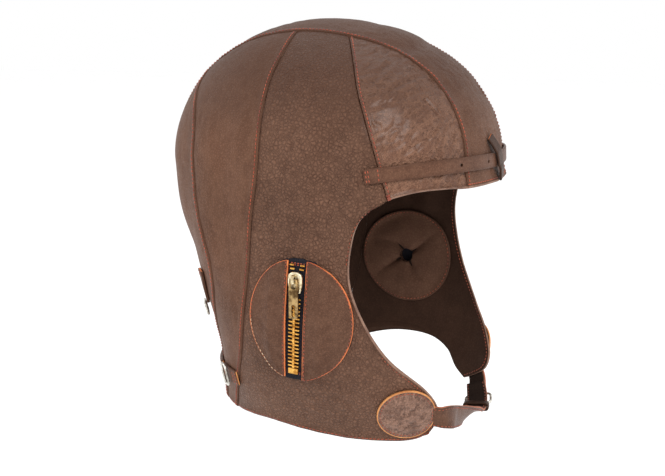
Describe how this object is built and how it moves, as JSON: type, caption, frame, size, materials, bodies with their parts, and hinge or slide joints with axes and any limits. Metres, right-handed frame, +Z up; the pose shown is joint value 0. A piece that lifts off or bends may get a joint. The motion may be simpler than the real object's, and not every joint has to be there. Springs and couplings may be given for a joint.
{
  "type": "leather flying helmet",
  "caption": "Soft brown leather flying helmet with zipped round ear pockets, a brow strap, a buckled chin strap and a nape strap.",
  "frame": {"origin": "inside of the crown at its top, where the helmet rests on the head", "axes": "+Z up, the face looks along -Y, +X is the wearer's left"},
  "size_m": [0.1874, 0.2056, 0.2485],
  "materials": {
    "shell_leather": "brown leather, fine pebble grain, soft sheen, crinkled on the temples",
    "strap_leather": "brown strap leather with darker burnished edges",
    "patch_leather": "brown leather patches with raw tan edges",
    "lining_leather": "smooth dark brown leather lining",
    "zip_tape": "black woven zip tape",
    "brass": "antique brass zip parts",
    "steel": "nickel-plated steel wire"
  },
  "bodies": {
    "helmet": {"crown_strip": "shell_leather", "temple_panel_right": "shell_leather", "side_panel_right": "shell_leather", "rear_side_panel_right": "shell_leather", "rear_panel_right": "shell_leather", "ear_pocket_front_right": "patch_leather", "ear_pocket_rear_right": "patch_leather", "zip_tape_right": "zip_tape", "zip_teeth_right": "brass", "zip_stop_right": "brass", "zip_slider_right": "brass", "ear_liner_right": "lining_leather", "chin_disc_right": "patch_leather", "rear_keeper_right": "strap_leather", "rear_buckle_right": "steel", "temple_panel_left": "shell_leather", "side_panel_left": "shell_leather", "rear_side_panel_left": "shell_leather", "rear_panel_left": "shell_leather", "ear_pocket_front_left": "patch_leather", "ear_pocket_rear_left": "patch_leather", "zip_tape_left": "zip_tape", "zip_teeth_left": "brass", "zip_stop_left": "brass", "zip_slider_left": "brass", "ear_liner_left": "lining_leather", "chin_disc_left": "patch_leather", "rear_keeper_left": "strap_leather", "rear_buckle_left": "steel", "brow_strap": "strap_leather", "brow_keeper": "strap_leather", "chin_strap": "strap_leather", "chin_tab": "strap_leather", "chin_keeper": "strap_leather", "chin_buckle": "steel", "chin_prong": "steel", "nape_strap": "strap_leather", "nape_tab": "strap_leather", "nape_buckle": "steel"},
    "zip_pull_right": {"zip_pull_right": "brass"},
    "zip_pull_left": {"zip_pull_left": "brass"}
  },
  "joints": [
    {"name": "zip_pull_right_hinge", "type": "hinge", "parent": "helmet", "child": "zip_pull_right", "pos_m": [-0.0918, -0.01917, -0.13898], "axis": [0, 1, 0], "range_deg": [-4, 140]},
    {"name": "zip_pull_left_hinge", "type": "hinge", "parent": "helmet", "child": "zip_pull_left", "pos_m": [0.0918, -0.01917, -0.13898], "axis": [0, -1, 0], "range_deg": [-4, 140]}
  ]
}
